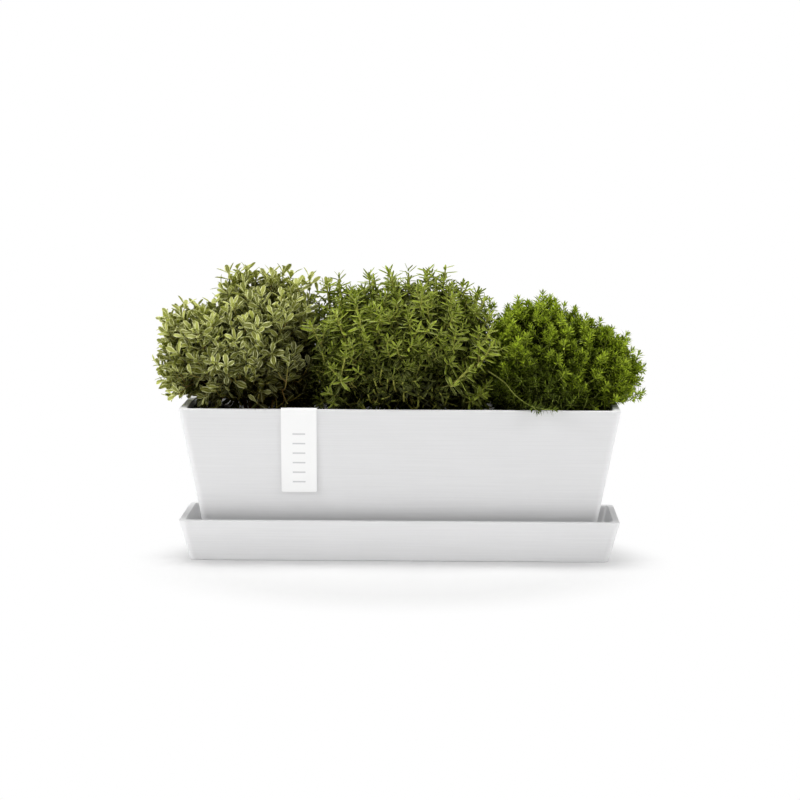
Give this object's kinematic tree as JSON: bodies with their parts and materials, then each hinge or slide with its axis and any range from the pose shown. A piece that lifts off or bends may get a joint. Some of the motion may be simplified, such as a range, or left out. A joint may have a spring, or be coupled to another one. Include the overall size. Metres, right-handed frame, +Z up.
{
  "type": "indoor herb planter",
  "caption": "Tapered rectangular planter trough standing in a matching drip tray, with a folded card tag over the rim, potting soil and a row of herbs.",
  "frame": {"origin": "on the surface that the planter stands on, under the middle of the drip tray", "axes": "+X along the trough to the right as seen from the front, +Y away from the front, +Z up"},
  "size_m": [0.4025, 0.1284, 0.2377],
  "materials": {
    "tray_plastic": "matte",
    "trough_plastic": "matte",
    "card": "matte",
    "soil": "matte",
    "root_ball": "matte",
    "woody_stem": "matte",
    "thyme_leaves": "satin",
    "rosemary_leaves": "satin",
    "savory_leaves": "satin"
  },
  "bodies": {
    "tray": {"drip_tray": "tray_plastic"},
    "planter": {"planter_box": "trough_plastic", "potting_soil": "soil", "thyme_root_ball": "root_ball", "thyme_stems": "woody_stem", "thyme_foliage": "thyme_leaves", "rosemary_root_ball": "root_ball", "rosemary_stems": "woody_stem", "rosemary_foliage": "rosemary_leaves", "savory_root_ball": "root_ball", "savory_stems": "woody_stem", "savory_foliage": "savory_leaves"},
    "tag": {"hang_tag": "card"}
  },
  "joints": [
    {"name": "planter_lift", "type": "slide", "parent": "tray", "child": "planter", "axis": [0, 0, 1], "range_m": [0, 0.06]},
    {"name": "tag_slide", "type": "slide", "parent": "planter", "child": "tag", "axis": [0, -0.1874, 0.9823], "range_m": [0, 0.075]}
  ]
}
